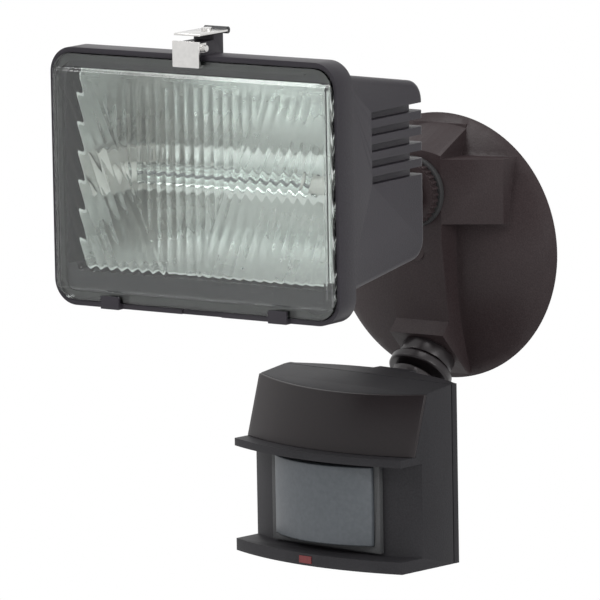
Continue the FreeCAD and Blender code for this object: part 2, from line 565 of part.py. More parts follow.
mirror = body("mirror")
mirror_inside = [("mirror_front", "mirror_top"), ("mirror_d", "mirror_flat / 2"),
                 ("mirror_d", "-mirror_flat / 2"),
                 ("mirror_front", "-mirror_low")]
mirror_outside = [("mirror_front", "-mirror_low - mirror_t * 1.4"),
                  ("mirror_d + mirror_t", "-mirror_flat / 2 - mirror_t"),
                  ("mirror_d + mirror_t", "mirror_flat / 2 + mirror_t"), ("mirror_front",
                                                            "mirror_top + mirror_t * 1.4")]
pad(mirror, "YZ_Plane", "-mirror_w / 2", "mirror_w", mirror_inside + mirror_outside)
pad(mirror, "YZ_Plane", "mirror_w / 2", "mirror_t", mirror_outside)
pad(mirror, "YZ_Plane", "-mirror_w / 2 - mirror_t", "mirror_t", mirror_outside)
for side in ("-1", "1"):
    bore(mirror, "mirror_d - 1", "mirror_d + mirror_t + 1", ("circle", f"{side} * mirror_post_x", "0",
                                                            "screw_r"))
    for level in ("-1", "1"):
        bore(mirror, "mirror_d - 1", "mirror_d + mirror_t + 1",
             ("circle", f"{side} * (lamp_len / 2 - 5)", f"{level} * holder_screw_z", "screw_r"))
in_head(mirror)
piece("reflector", mirror)
screws("reflector_screws", [("-mirror_post_x", "0"), ("mirror_post_x", "0")], "mirror_d", "screw_len - 1",
       in_head)
screws("holder_screws", [(f"{side} * (lamp_len / 2 - 5)", f"{level} * holder_screw_z") for side in ("-1",
                                                            "1")
                         for level in ("-1", "1")], "mirror_d - 4", "screw_len - 2", in_head)

quartz = body("quartz")
pad(quartz, "YZ_Plane", "-tube_len / 2", "tube_len", ("circle", "lamp_d", "0", "tube_r"),
    ("circle", "lamp_d", "0", "tube_r - 1"))
in_head(quartz)
piece("lamp_tube", quartz)
filament = body("filament")
pad(filament, "YZ_Plane", "-tube_len / 2", "tube_len", ("circle", "lamp_d", "0", "filament_r"))
in_head(filament)
piece("lamp_filament", filament)
for side, sign in (("left", "-1"), ("right", "1")):
    tip = body(f"tip_{side}")
    low = "-lamp_len / 2" if side == "left" else "tube_len / 2"
    pad(tip, "YZ_Plane", low, "(lamp_len - tube_len) / 2", ("circle", "lamp_d", "0", "cap_r"))
    in_head(tip)
    piece(f"lamp_cap_{side}", tip)
    holder = body(f"holder_body_{side}")
    low = "-lamp_len / 2 - holder_t + 0.6" if side == "left" else "lamp_len / 2 + 0.6"
    pad(holder, "YZ_Plane", low, "holder_t - 1.2", box("holder_front", "mirror_d", "-holder_h / 2",
                                                       "holder_h / 2"))
    low = "-lamp_len / 2 - 1" if side == "left" else "lamp_len / 2 - 9"
    pad(holder, "YZ_Plane", low, "10", box("mirror_d - 4", "mirror_d", "-holder_h / 2", "holder_h / 2"))
    pocket(holder, "YZ_Plane", f"{sign} * (lamp_len / 2 + 2) + 2", "4",
           ("circle", "lamp_d", "0", "contact_r"))
    for level in ("-1", "1"):
        bore(holder, "mirror_d - 5", "mirror_d + 1", ("circle", f"{sign} * (lamp_len / 2 - 5)",
                                                      f"{level} * holder_screw_z", "screw_r"))
    in_head(holder)
    piece(f"lamp_holder_{side}", holder)
    contact = body(f"contact_body_{side}")
    low = "-lamp_len / 2 - 4" if side == "left" else "lamp_len / 2"
    pad(contact, "YZ_Plane", low, "4", ("circle", "lamp_d", "0", "contact_r"))
    in_head(contact)
    piece(f"contact_{side}", contact)

# ---- latch -----------------------------------------------------------------------------------------
clip = body("clip")
slab(clip, "-latch_front", "-latch_front + latch_t", box("-latch_w / 2", "latch_w / 2", "latch_low",
                                                         "latch_top"))
slab(clip, "-latch_front", "-glass_proud - 0.2", box("-latch_w / 2", "latch_w / 2", "latch_low",
                                                     "latch_low + latch_t"))
for side in ("-1", "1"):
    left = f"{side} * (latch_w / 2 - latch_t / 2) - latch_t / 2"
    pad(clip, "YZ_Plane", left, "latch_t", box("-latch_front", "pin_d + 2", "pin_z - 2", "pin_z + 2.4"))
pocket(clip, "YZ_Plane", "latch_w", "latch_w * 2", ("circle", "pin_d", "pin_z", "pin_r"))
in_head(clip)
piece("latch_clip", clip)
pin = body("pin")
pad(pin, "YZ_Plane", "-latch_w / 2 - 1.6", "latch_w + 3.2", ("circle", "pin_d", "pin_z", "pin_r"))
in_head(pin)
piece("latch_pin", pin)
leaf = body("leaf")
slab(leaf, "leaf_front", "leaf_back", box("-latch_w / 2", "latch_w / 2", "leaf_z", "leaf_z + leaf_t"))
pocket(leaf, "XY_Plane", "leaf_z + leaf_t + 1", "leaf_t + 2",
       ("circle", "0", "lug_back - 5", "pin_r - 0.3"))
in_head(leaf)
piece("latch_spring", leaf)
rivet = body("rivet_body")
pad(rivet, "XY_Plane", "leaf_z", "leaf_t + 1.2", ("circle", "0", "lug_back - 5", "pin_r - 0.3"))
pad(rivet, "XY_Plane", "leaf_z + leaf_t", "1.2", ("circle", "0", "lug_back - 5", "pin_r + 0.9"))
in_head(rivet)
piece("latch_rivet", rivet)
roll = body("roll_body")
pad(roll, "YZ_Plane", "-latch_w / 2 + 1", "latch_w - 2",
    ("circle", "leaf_back + roll_r", "leaf_z + leaf_t / 2", "roll_r"))
in_head(roll)
piece("latch_roll", roll)


# ---- sensor swivel: drawn with Z along the slanted stem, counted from the lower boss --------------------

lock_nut = body("lock_nut")
pad(lock_nut, "XY_Plane", "0", "lock_nut_t", many_sided("lock_nut_r", 12),
    ("circle", "0", "0", "stem_r + run_fit"))
on_stem(lock_nut)
piece("sensor_lock_nut", lock_nut)

stem = body("stem")
turned(stem, "XZ_Plane", [
    ("stem_bore", "-stem_in"), ("stem_r", "-stem_in"), ("stem_r", "stem_ring_low"), ("stem_ring_r - 0.8",
                                                            "stem_ring_low"),
    ("stem_ring_r", "stem_ring_low + 0.8"), ("stem_ring_r", "stem_ring_high - 0.8"), ("stem_ring_r - 0.8",
                                                            "stem_ring_high"),
    ("stem_r", "stem_ring_high"), ("stem_r", "ball_at - sqrt(ball_r^2 - stem_r^2)", "ball_r", "ball_at"),
    ("stem_bore", "ball_at + sqrt(ball_r^2 - stem_bore^2)")])
on_stem(stem)
piece("sensor_stem", stem)


def at_ball(thing):
    """Place an object drawn along the stem in the sensor's own frame, about the ball."""
    return place(thing, "0", "sensor_ball_back + ball_at * cos(45)",
                 "ball_at * cos(45) - sensor_ball_down", (1, 0, 0), "135")


def socket(name):
    """Make the ball-shaped space of the swivel in the sensor's own frame."""
    ball = doc.addObject("Part::Sphere", name)
    bind(ball, Radius="ball_r + rest_gap")
    return place(ball, "0", "sensor_ball_back", "-sensor_ball_down")


clamp = body("clamp")
pad(clamp, "XY_Plane", "clamp_low", "clamp_high - clamp_low", many_sided("clamp_r", 12))
clamp_cone = turned(clamp, "XZ_Plane", [("clamp_neck_r", "clamp_low - 1"), ("clamp_r + 2", "clamp_low - 1"),
                                        ("clamp_r + 2", "clamp_low + 1.2"), ("clamp_r", "clamp_low + 1.2"),
                                        ("clamp_neck_r", "clamp_low")], "360", True)
clamp.Tip = clamp_cone
at_ball(clamp)
clamp_cut = doc.addObject("Part::Cut", "clamp_cut")
clamp_cut.Base, clamp_cut.Tool = clamp, socket("clamp_ball")
in_sensor(clamp_cut)
piece("swivel_clamp_nut", clamp_cut)

# ---- sensor: drawn from the top of its rear plane, forward along -Y, down along -Z -----------------------


def bowed(half, back, end, bow):
    """Give a plan outline with straight sides and a bowed front."""
    return [(f"-({half})", f"-({back})"), (half, f"-({back})"),
            (half, f"-({end})", "0", f"-({end} + {bow})"),
            (f"-({half})", f"-({end})")]


def loft(owner, low, low_shape, high, high_shape):
    """Add a solid that runs between two level outlines."""
    feature = owner.newObject("PartDesign::AdditiveLoft", "loft")
    feature.Profile = sketch(owner, "XY_Plane", low, [low_shape])
    feature.Sections = [sketch(owner, "XY_Plane", high, [high_shape])]
    feature.Ruled = True
    doc.recompute()
    return sound(feature)


ledge_low = "(ledge_z + ledge_t)"
cover_spots = [(f"{side} * cover_screw_x", level) for side in ("-1", "1")
               for level in ("-cover_screw_high", "-cover_screw_low")]
case = body("case")
loft(case, "-ledge_z", bowed("sensor_x", "parting", "visor_end + visor_slant - visor_t", "bow"),
     "0", bowed("sensor_x", "parting", "visor_end - visor_t", "bow"))
top_plane = [("-parting + 1", "0"), ("-parting", "0"), ("-ledge_end - ledge_bow", "-top_fall"),
             ("-ledge_end - ledge_bow", "5"), ("-parting + 1", "5")]
pocket(case, "YZ_Plane", "sensor_x + 1", "sensor_w + 2", top_plane)
pad(case, "XY_Plane", f"-{ledge_low}", "ledge_t", bowed("sensor_x", "parting", "ledge_end", "ledge_bow"))
pad(case, "XY_Plane", "-sill_z", f"sill_z - {ledge_low}", [
    ("-sensor_x", "-parting"), ("sensor_x", "-parting"), ("sensor_x", "-waist_end"), ("waist_half",
                                                            "-waist_in"),
    ("-waist_half", "-waist_in"), ("-sensor_x", "-waist_end")])
pad(case, "XY_Plane", "-sensor_h", "sensor_h - sill_z", bowed("sensor_x", "parting", "ledge_end",
                                                            "ledge_bow"))
bore(case, "-visor_end + visor_t + 1", "-parting + 1",
     box("-sensor_x + case_wall", "sensor_x - case_wall", "-sensor_h + case_wall", "-case_wall - 3"))
bore(case, "-waist_end + case_wall", "-parting",
     box("-sensor_x + case_wall * 2", "sensor_x - case_wall * 2",
                                                     "-sensor_h + case_wall", f"-{ledge_low} - case_wall"))
bore(case, "-waist_in + case_wall", "-parting", box("-waist_half", "waist_half", "-sill_z + case_wall",
                                                    "-case_wall - 8"))
bore(case, "-waist_in - 1", "-parting", box("-lens_half + 3", "lens_half - 3", "-lens_low + 3",
                                            "-lens_top - 3"))
for x, z in cover_spots:
    slab(case, "-visor_end + visor_t", "-parting", ("circle", x, z, "screw_r + 2.4"))
    bore(case, "-parting - screw_len - 3", "-parting + 1", ("circle", x, z, "screw_r"))
led_z = "-(sill_z + sensor_h) / 2"
led_front = "ledge_end + ledge_bow"
bore(case, f"-({led_front}) - 1", f"-({led_front}) + 1.8", box("led_x - led_w / 2", "led_x + led_w / 2",
                                                               f"{led_z} - led_h / 2", f"{led_z} + led_h / 2"))
bore(case, f"-({led_front}) - 1", "-parting", ("circle", "led_x", led_z, "1.5"))
pocket(case, "XY_Plane", "-sensor_h + case_wall + 0.5", "case_wall + 2",
       box("switch_x - switch_w / 2 - rest_gap", "switch_x + switch_w / 2 + switch_travel + rest_gap",
           "-control_at - switch_d / 2 - rest_gap", "-control_at + switch_d / 2 + rest_gap"))
pocket(case, "XY_Plane", "-sensor_h + case_wall + 0.5", "case_wall + 2",
       ("circle", "knob_x", "-control_at", "knob_r + run_fit"))
in_sensor(case)
piece("sensor_housing", case)

cover = body("cover")
slab(cover, "-parting + part_gap", "0", box("-sensor_x", "sensor_x", "-sensor_h", "0"))
slab(cover, "-parting", "-parting + part_gap", box("-sensor_x + part_gap", "sensor_x - part_gap",
                                                   "-sensor_h + part_gap", "-part_gap"))
bore(cover, "-parting - 1", "-1.6", box("-sensor_x + case_wall", "sensor_x - case_wall",
                                        "-sensor_h + case_wall", "-case_wall"))
pad(cover, "XY_Plane", "-bulge_low", "bulge_low - bulge_high", [
    ("-sensor_x", "-1"), ("sensor_x", "-1"), ("sensor_x", "0", "0", "bulge_d"), ("-sensor_x", "0")])
reach = "(collar_at - ball_at) * cos(45)"
half_face = "face_half * cos(45)"
pad(cover, "YZ_Plane", "-bulge_half", "bulge_half * 2", [
    ("-1", "-bulge_high"), (f"sensor_ball_back - {reach} * 2 - sensor_ball_down + bulge_high",
                            "-bulge_high"),
    (f"sensor_ball_back - {reach} + {half_face}", f"-sensor_ball_down - {reach} - {half_face}"),
    ("sensor_ball_back - 8", "-sensor_ball_down - 36"), ("-1", "-sensor_ball_down - 46")])
for x in ("-post_x", "post_x"):
    for z in ("-board_high - post_in", "-board_low + post_in * 3"):
        slab(cover, "-board_at", "-1.5", ("circle", x, z, "3"))
for x, z in cover_spots:
    slab(cover, "-parting", "-1.5", ("circle", x, z, "screw_r + 2.4"))
    bore(cover, "-parting - 1", "1", ("circle", x, z, "screw_r"))
bore(cover, "0", "bulge_d", *[("circle", x, z, "screw_head_r + rest_gap")
                              for x, z in cover_spots if z == "-cover_screw_high"])
neck = cylinder("neck", "neck_r", "neck_len")
place(neck, "0", "sensor_ball_back + neck_back", "neck_back - sensor_ball_down", (1, 0, 0), "135")
cover_whole = doc.addObject("Part::Fuse", "cover_whole")
cover_whole.Base, cover_whole.Tool = cover, neck
cover_cut = doc.addObject("Part::Cut", "cover_cut")
cover_cut.Base, cover_cut.Tool = cover_whole, socket("cover_ball")
in_sensor(cover_cut)
piece("sensor_back_cover", cover_cut)

cover_screws = [place(screw(f"cover_screw_{number}", "0", "screw_len + 4"), x, "0", z, (0, 0, 1), "180")
                for number, (x, z) in enumerate(cover_spots)]
screw_group = doc.addObject("Part::Compound", "cover_screw_group")
screw_group.Links = cover_screws
in_sensor(screw_group)
piece("cover_screws", screw_group)


def band(end):
    """Give the plan outline of the visor panel where its ends reach a distance."""
    return [("-sensor_x", f"-({end} - visor_t)", "0", f"-({end} - visor_t + bow)"),
            ("sensor_x", f"-({end} - visor_t)"),
            ("sensor_x", f"-({end})", "0", f"-({end} + bow)"), ("-sensor_x", f"-({end})")]


panel = body("panel")
loft(panel, "-ledge_z", band("visor_end + visor_slant"), "0", band("visor_end"))
pocket(panel, "YZ_Plane", "sensor_x + 1", "sensor_w + 2", top_plane)
in_sensor(panel)
piece("visor_panel", panel)

lens = body("lens")
pad(lens, "XY_Plane", "-lens_low", "lens_low - lens_top", bowed("lens_half", "waist_in", "lens_end",
                                                            "lens_bow"))
pocket(lens, "XY_Plane", "-lens_top - lens_t", "lens_low - lens_top - lens_t * 2",
       bowed("lens_half - lens_t", "waist_in - 1", "lens_end - lens_t", "lens_bow"))
in_sensor(lens)
piece("fresnel_lens", lens)

lens_ring = body("lens_ring")
slab(lens_ring, "-waist_in - lens_frame_t", "-waist_in",
     box("-waist_half", "waist_half", "-lens_low - lens_frame_w", "-lens_top + lens_frame_w - 1"),
     box("-lens_half - 0.05", "lens_half + 0.05", "-lens_low - 0.05", "-lens_top + 0.05"))
in_sensor(lens_ring)
piece("lens_frame", lens_ring)

window = body("window")
slab(window, f"-({led_front}) - 0.3", f"-({led_front}) + 1.8",
     box("led_x - led_w / 2", "led_x + led_w / 2", f"{led_z} - led_h / 2", f"{led_z} + led_h / 2"))
in_sensor(window)
piece("led_window", window)
led = body("led")
slab(led, f"-({led_front}) + 1.8", f"-({led_front}) + 8", ("circle", "led_x", led_z, "1.5"))
in_sensor(led)
piece("status_led", led)

board = body("board")
slab(board, "-board_at - board_t", "-board_at", box("-board_w / 2", "board_w / 2", "-board_low",
                                                    "-board_high"))
for x, z in cover_spots:
    bore(board, "-board_at - board_t - 1", "-board_at + 1", ("circle", x, z, "screw_r + 3"))
in_sensor(board)
piece("circuit_board", board)
board_front = "(board_at + board_t)"
pir = body("pir")
slab(pir, f"-{board_front} - pir_t", f"-{board_front}", ("circle", "0", "-(lens_top + lens_low) / 2",
                                                         "pir_r"))
in_sensor(pir)
piece("pir_detector", pir)
relay = body("relay_body")
slab(relay, f"-{board_front} - relay_d", f"-{board_front}", box("-38", "-38 + relay_w", "-lens_low + 8",
                                                            "-lens_low + 8 + relay_h"))
in_sensor(relay)
piece("relay", relay)
can = body("can")
slab(can, f"-{board_front} - cap_can_len", f"-{board_front}",
     ("circle", "32", "-lens_top - 14", "cap_can_r"))
in_sensor(can)
piece("capacitor", can)

slider = body("slider")
pad(slider, "XY_Plane", "-sensor_h - switch_drop", "switch_drop + case_wall + 0.1",
    box("switch_x - switch_w / 2", "switch_x + switch_w / 2", "-control_at - switch_d / 2",
        "-control_at + switch_d / 2"))
pad(slider, "XY_Plane", "-sensor_h + case_wall + 0.1", "1.2",
    box("switch_x - switch_w / 2 - 2", "switch_x + switch_w / 2 + 2", "-control_at - switch_d / 2 - 1.5",
        "-control_at + switch_d / 2 + 1.5"))
in_sensor(slider)
piece("on_time_switch", slider)
knob = body("knob")
pad(knob, "XY_Plane", "-sensor_h - knob_drop", "knob_drop + case_wall + 0.1",
    ("circle", "knob_x", "-control_at", "knob_r"))
pad(knob, "XY_Plane", "-sensor_h + case_wall + 0.1", "1.2",
    ("circle", "knob_x", "-control_at", "knob_r + 1.2"))
pocket(knob, "XY_Plane", "-sensor_h - knob_drop + 1.2", "2",
       box("knob_x - 0.6", "knob_x + 0.6", "-control_at - knob_r + 1", "-control_at + knob_r - 1"))
in_sensor(knob)
piece("range_knob", knob)

doc.recompute()
for thing in doc.Objects:
    if "Invalid" in thing.State or "Error" in thing.State:
        raise ValueError(f"{thing.Label} failed: {thing.State}")
for thing in PIECES:
    if thing.Shape.isNull() or not thing.Shape.isValid():
        raise ValueError(f"{thing.Label} has no valid shape")
os.makedirs("parts", exist_ok=True)
for thing in PIECES:
    thing.Shape.exportStep(f"parts/{thing.Label}.step")
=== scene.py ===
"""Dress the motion sensor security light: finishes, pressed glass, rounded edges, camera and lamps."""
from __future__ import annotations

import logging
import math
from dataclasses import dataclass
from enum import Enum

import bpy
from mathutils import Matrix, Vector

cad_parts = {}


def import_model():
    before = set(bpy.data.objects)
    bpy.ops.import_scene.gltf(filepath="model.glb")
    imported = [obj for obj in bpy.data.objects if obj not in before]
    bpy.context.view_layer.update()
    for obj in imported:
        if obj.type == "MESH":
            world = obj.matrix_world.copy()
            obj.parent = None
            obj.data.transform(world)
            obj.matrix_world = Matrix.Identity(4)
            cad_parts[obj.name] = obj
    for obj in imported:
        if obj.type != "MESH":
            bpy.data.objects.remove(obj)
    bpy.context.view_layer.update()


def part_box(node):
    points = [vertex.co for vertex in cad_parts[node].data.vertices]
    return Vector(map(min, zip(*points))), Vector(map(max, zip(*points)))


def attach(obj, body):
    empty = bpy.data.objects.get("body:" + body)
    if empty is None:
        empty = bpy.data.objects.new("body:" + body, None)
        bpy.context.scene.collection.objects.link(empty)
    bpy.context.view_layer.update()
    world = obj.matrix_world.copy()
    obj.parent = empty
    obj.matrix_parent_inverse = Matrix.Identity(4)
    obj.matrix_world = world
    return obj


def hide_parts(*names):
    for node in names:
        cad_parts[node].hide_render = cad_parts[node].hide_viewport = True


LOG = logging.getLogger("security_light")
MM = 0.001
MERGE_GAP = 0.004
FLAT_ANGLE = 0.6
BEVEL_ANGLE = 38.0
BEVEL_STEPS = 3
SMOOTH_ANGLE = 32.0
Colour = tuple[float, float, float, float]


class Grain(Enum):
    """How a moulded or cast surface is textured."""

    CAST = "cast"
    MOULDED = "moulded"
    BRUSHED = "brushed"
    PLAIN = "plain"


def add_group(name: str, inputs: dict[str, float | Colour], outputs: dict[str, str]) -> bpy.types.NodeTree:
    """Start a shader node group.

    Args:
        name: The group's name.
        inputs: Input names and default values.
        outputs: Output names and socket types.

    Returns:
        The new group with its input and output nodes.
    """
    tree = bpy.data.node_groups.new(name, "ShaderNodeTree")
    for label, default in inputs.items():
        kind = "NodeSocketColor" if isinstance(default, tuple) else "NodeSocketFloat"
        socket = tree.interface.new_socket(name=label, in_out="INPUT", socket_type=kind)
        socket.default_value = default
    for label, kind in outputs.items():
        tree.interface.new_socket(name=label, in_out="OUTPUT", socket_type=kind)
    tree.nodes.new("NodeGroupInput")
    tree.nodes.new("NodeGroupOutput")
    return tree


def ends(tree: bpy.types.NodeTree) -> tuple[bpy.types.Node, bpy.types.Node]:
    """Return a group's input and output nodes."""
    inlet = next(node for node in tree.nodes if node.type == "GROUP_INPUT")
    outlet = next(node for node in tree.nodes if node.type == "GROUP_OUTPUT")
    return inlet, outlet


def speckle_group() -> bpy.types.NodeTree:
    """Build the fine speckle that cast and moulded surfaces share.

    Returns:
        A group that varies a colour and gives a roughness and a height.
    """
    tree = add_group("Surface speckle", {"Colour": (0.5, 0.5, 0.5, 1.0), "Light colour": (0.6, 0.6, 0.6, 1.0),
                                         "Scale": 900.0, "Mottle": 0.3, "Roughness": 0.5},
                     {"Colour": "NodeSocketColor", "Roughness": "NodeSocketFloat", "Height": "NodeSocketFloat"})
    inlet, outlet = ends(tree)
    links = tree.links
    spot = tree.nodes.new("ShaderNodeTexCoord")
    fine = tree.nodes.new("ShaderNodeTexNoise")
    fine.inputs["Detail"].default_value = 3.0
    links.new(spot.outputs["Object"], fine.inputs["Vector"])
    links.new(inlet.outputs["Scale"], fine.inputs["Scale"])
    broad = tree.nodes.new("ShaderNodeTexNoise")
    broad.inputs["Scale"].default_value = 38.0
    broad.inputs["Detail"].default_value = 4.0
    links.new(spot.outputs["Object"], broad.inputs["Vector"])
    spread = tree.nodes.new("ShaderNodeMapRange")
    spread.inputs["From Min"].default_value = 0.35
    spread.inputs["From Max"].default_value = 0.7
    links.new(fine.outputs["Fac"], spread.inputs["Value"])
    amount = tree.nodes.new("ShaderNodeMath")
    amount.operation = "MULTIPLY"
    links.new(spread.outputs["Result"], amount.inputs[0])
    links.new(inlet.outputs["Mottle"], amount.inputs[1])
    cloud = tree.nodes.new("ShaderNodeMath")
    cloud.operation = "MULTIPLY_ADD"
    cloud.inputs[1].default_value = 0.35
    links.new(broad.outputs["Fac"], cloud.inputs[0])
    links.new(amount.outputs["Value"], cloud.inputs[2])
    mix = tree.nodes.new("ShaderNodeMix")
    mix.data_type = "RGBA"
    links.new(cloud.outputs["Value"], mix.inputs[0])
    links.new(inlet.outputs["Colour"], mix.inputs[6])
    links.new(inlet.outputs["Light colour"], mix.inputs[7])
    links.new(mix.outputs[2], outlet.inputs["Colour"])
    rough = tree.nodes.new("ShaderNodeMath")
    rough.operation = "MULTIPLY_ADD"
    rough.inputs[1].default_value = 0.16
    links.new(broad.outputs["Fac"], rough.inputs[0])
    links.new(inlet.outputs["Roughness"], rough.inputs[2])
    links.new(rough.outputs["Value"], outlet.inputs["Roughness"])
    links.new(fine.outputs["Fac"], outlet.inputs["Height"])
    return tree


def edge_group() -> bpy.types.NodeTree:
    """Build the painted highlight that lightens convex edges.

    Returns:
        A group that mixes a painted highlight colour in where the surface is convex.
    """
    tree = add_group("Painted edge highlight", {"Colour": (0.5, 0.5, 0.5, 1.0), "Painted highlight colour": (0.7, 0.7, 0.7, 1.0),
                                   "Amount": 0.4}, {"Colour": "NodeSocketColor"})
    inlet, outlet = ends(tree)
    shape = tree.nodes.new("ShaderNodeNewGeometry")
    ramp = tree.nodes.new("ShaderNodeMapRange")
    ramp.inputs["From Min"].default_value = 0.52
    ramp.inputs["From Max"].default_value = 0.62
    tree.links.new(shape.outputs["Pointiness"], ramp.inputs["Value"])
    amount = tree.nodes.new("ShaderNodeMath")
    amount.operation = "MULTIPLY"
    tree.links.new(ramp.outputs["Result"], amount.inputs[0])
    tree.links.new(inlet.outputs["Amount"], amount.inputs[1])
    mix = tree.nodes.new("ShaderNodeMix")
    mix.data_type = "RGBA"
    tree.links.new(amount.outputs["Value"], mix.inputs[0])
    tree.links.new(inlet.outputs["Colour"], mix.inputs[6])
    tree.links.new(inlet.outputs["Painted highlight colour"], mix.inputs[7])
    tree.links.new(mix.outputs[2], outlet.inputs["Colour"])
    return tree


@dataclass(frozen=True)
class Finish:
    """An opaque finish with speckle, bump and a painted highlight along convex edges."""

    name: str
    colour: Colour
    light: Colour
    roughness: float = 0.5
    metallic: float = 0.0
    scale: float = 900.0
    mottle: float = 0.3
    bump: float = 0.1
    coat: float = 0.0
    # Strength of the painted highlight that lightens convex edges.
    edge_highlight: float = 0.0
    grain: Grain = Grain.CAST
    gloss: float = 0.5

    def make(self) -> bpy.types.Material:
        """Build the finish's material.

        Returns:
            The material, made once and shared.
        """
        known = bpy.data.materials.get(self.name)
        if known:
            return known
        material = bpy.data.materials.new(self.name)
        material.use_nodes = True
        nodes, links = material.node_tree.nodes, material.node_tree.links
        shader = nodes["Principled BSDF"]
        shader.inputs["Specular IOR Level"].default_value = self.gloss
        shader.inputs["Metallic"].default_value = self.metallic
        shader.inputs["Coat Weight"].default_value = self.coat
        shader.inputs["Coat Roughness"].default_value = 0.25
        speckle = nodes.new("ShaderNodeGroup")
        speckle.node_tree = bpy.data.node_groups["Surface speckle"]
        speckle.inputs["Colour"].default_value = self.colour
        speckle.inputs["Light colour"].default_value = self.light
        speckle.inputs["Scale"].default_value = self.scale
        speckle.inputs["Mottle"].default_value = self.mottle
        speckle.inputs["Roughness"].default_value = self.roughness
        colour = speckle.outputs["Colour"]
        # Painted highlight: convex edges are mixed towards the lighter colour.
        if self.edge_highlight > 0.0:
            edge = nodes.new("ShaderNodeGroup")
            edge.node_tree = bpy.data.node_groups["Painted edge highlight"]
            edge.inputs["Painted highlight colour"].default_value = self.light
            edge.inputs["Amount"].default_value = self.edge_highlight
            links.new(colour, edge.inputs["Colour"])
            colour = edge.outputs["Colour"]
        links.new(colour, shader.inputs["Base Color"])
        links.new(speckle.outputs["Roughness"], shader.inputs["Roughness"])
        if self.grain is not Grain.PLAIN:
            height = speckle.outputs["Height"]
            if self.grain is Grain.BRUSHED:
                height = self.brushed(nodes, links)
            bump = nodes.new("ShaderNodeBump")
            bump.inputs["Strength"].default_value = self.bump
            bump.inputs["Distance"].default_value = 0.4 * MM
            links.new(height, bump.inputs["Height"])
            links.new(bump.outputs["Normal"], shader.inputs["Normal"])
        return material

    def brushed(self, nodes: bpy.types.Nodes, links: bpy.types.NodeLinks) -> bpy.types.NodeSocket:
        """Add fine parallel scratches.

        Args:
            nodes: The material's nodes.
            links: The material's links.

        Returns:
            The scratches' height.
        """
        spot = nodes.new("ShaderNodeTexCoord")
        stretch = nodes.new("ShaderNodeMapping")
        stretch.inputs["Scale"].default_value = (40.0, 2400.0, 2400.0)
        scratch = nodes.new("ShaderNodeTexNoise")
        scratch.inputs["Scale"].default_value = 1.0
        links.new(spot.outputs["Object"], stretch.inputs["Vector"])
        links.new(stretch.outputs["Vector"], scratch.inputs["Vector"])
        return scratch.outputs["Fac"]


@dataclass(frozen=True)
class GlassFinish:
    """A clear or tinted glass."""

    name: str
    tint: Colour
    roughness: float = 0.05
    ior: float = 1.47
    bump: float = 0.0

    def make(self) -> bpy.types.Material:
        """Build the glass material, with a faint ripple in its surface.

        Returns:
            The material, made once and shared.
        """
        known = bpy.data.materials.get(self.name)
        if known:
            return known
        material = bpy.data.materials.new(self.name)
        material.use_nodes = True
        nodes, links = material.node_tree.nodes, material.node_tree.links
        shader = nodes["Principled BSDF"]
        shader.inputs["Transmission Weight"].default_value = 1.0
        shader.inputs["IOR"].default_value = self.ior
        spot = nodes.new("ShaderNodeTexCoord")
        ripple = nodes.new("ShaderNodeTexNoise")
        ripple.inputs["Scale"].default_value = 120.0
        links.new(spot.outputs["Object"], ripple.inputs["Vector"])
        shade = nodes.new("ShaderNodeMix")
        shade.data_type = "RGBA"
        shade.inputs[6].default_value = self.tint
        shade.inputs[7].default_value = tuple(0.5 + part / 2 for part in self.tint)
        links.new(ripple.outputs["Fac"], shade.inputs[0])
        links.new(shade.outputs[2], shader.inputs["Base Color"])
        rough = nodes.new("ShaderNodeMath")
        rough.operation = "MULTIPLY_ADD"
        rough.inputs[1].default_value = 0.04
        rough.inputs[2].default_value = self.roughness
        links.new(ripple.outputs["Fac"], rough.inputs[0])
        links.new(rough.outputs["Value"], shader.inputs["Roughness"])
        if self.bump > 0.0:
            bump = nodes.new("ShaderNodeBump")
            bump.inputs["Strength"].default_value = self.bump
            bump.inputs["Distance"].default_value = 0.3 * MM
            links.new(ripple.outputs["Fac"], bump.inputs["Height"])
            links.new(bump.outputs["Normal"], shader.inputs["Normal"])
        return material


# The edge strengths in these finishes set how much painted highlight lightens their convex edges.
BRONZE = Finish("Bronze paint", (0.022, 0.014, 0.015, 1.0), (0.050, 0.037, 0.038, 1.0), 0.38, 0.0, 1500.0, 0.35, 0.22,
                coat=0.12, edge_highlight=0.35, gloss=0.16)
HEAD = Finish("Head paint", (0.017, 0.015, 0.019, 1.0), (0.038, 0.034, 0.041, 1.0), 0.38, 0.0, 1500.0, 0.35, 0.22,
              coat=0.12, edge_highlight=0.35, gloss=0.16)
SWIVEL = Finish("Swivel metal", (0.014, 0.011, 0.012, 1.0), (0.032, 0.026, 0.028, 1.0), 0.24, 0.3, 1500.0, 0.2, 0.05)
CASE = Finish("Sensor plastic", (0.017, 0.016, 0.018, 1.0), (0.038, 0.037, 0.040, 1.0), 0.44, 0.0, 1300.0, 0.3, 0.16,
              edge_highlight=0.3, grain=Grain.MOULDED, gloss=0.16)
VISOR = Finish("Visor plastic", (0.008, 0.005, 0.006, 1.0), (0.020, 0.014, 0.015, 1.0), 0.34, 0.0, 1300.0, 0.2, 0.05,
               coat=0.1, edge_highlight=0.2, grain=Grain.MOULDED, gloss=0.25)
RUBBER = Finish("Black rubber", (0.012, 0.012, 0.013, 1.0), (0.035, 0.034, 0.034, 1.0), 0.65, 0.0, 1100.0, 0.3, 0.15)
ZINC = Finish("Zinc steel", (0.50, 0.50, 0.49, 1.0), (0.70, 0.69, 0.66, 1.0), 0.3, 1.0, 700.0, 0.4, 0.1,
              grain=Grain.BRUSHED)
CHROME = Finish("Chrome plate", (0.62, 0.61, 0.60, 1.0), (0.80, 0.79, 0.77, 1.0), 0.14, 1.0, 600.0, 0.2, 0.05,
                grain=Grain.BRUSHED)
MIRROR = Finish("Mirror sheet", (0.66, 0.67, 0.66, 1.0), (0.84, 0.85, 0.84, 1.0), 0.2, 1.0, 260.0, 0.3, 0.5)
CERAMIC = Finish("Ceramic", (0.72, 0.71, 0.68, 1.0), (0.86, 0.85, 0.82, 1.0), 0.5, 0.0, 800.0, 0.3, 0.1)
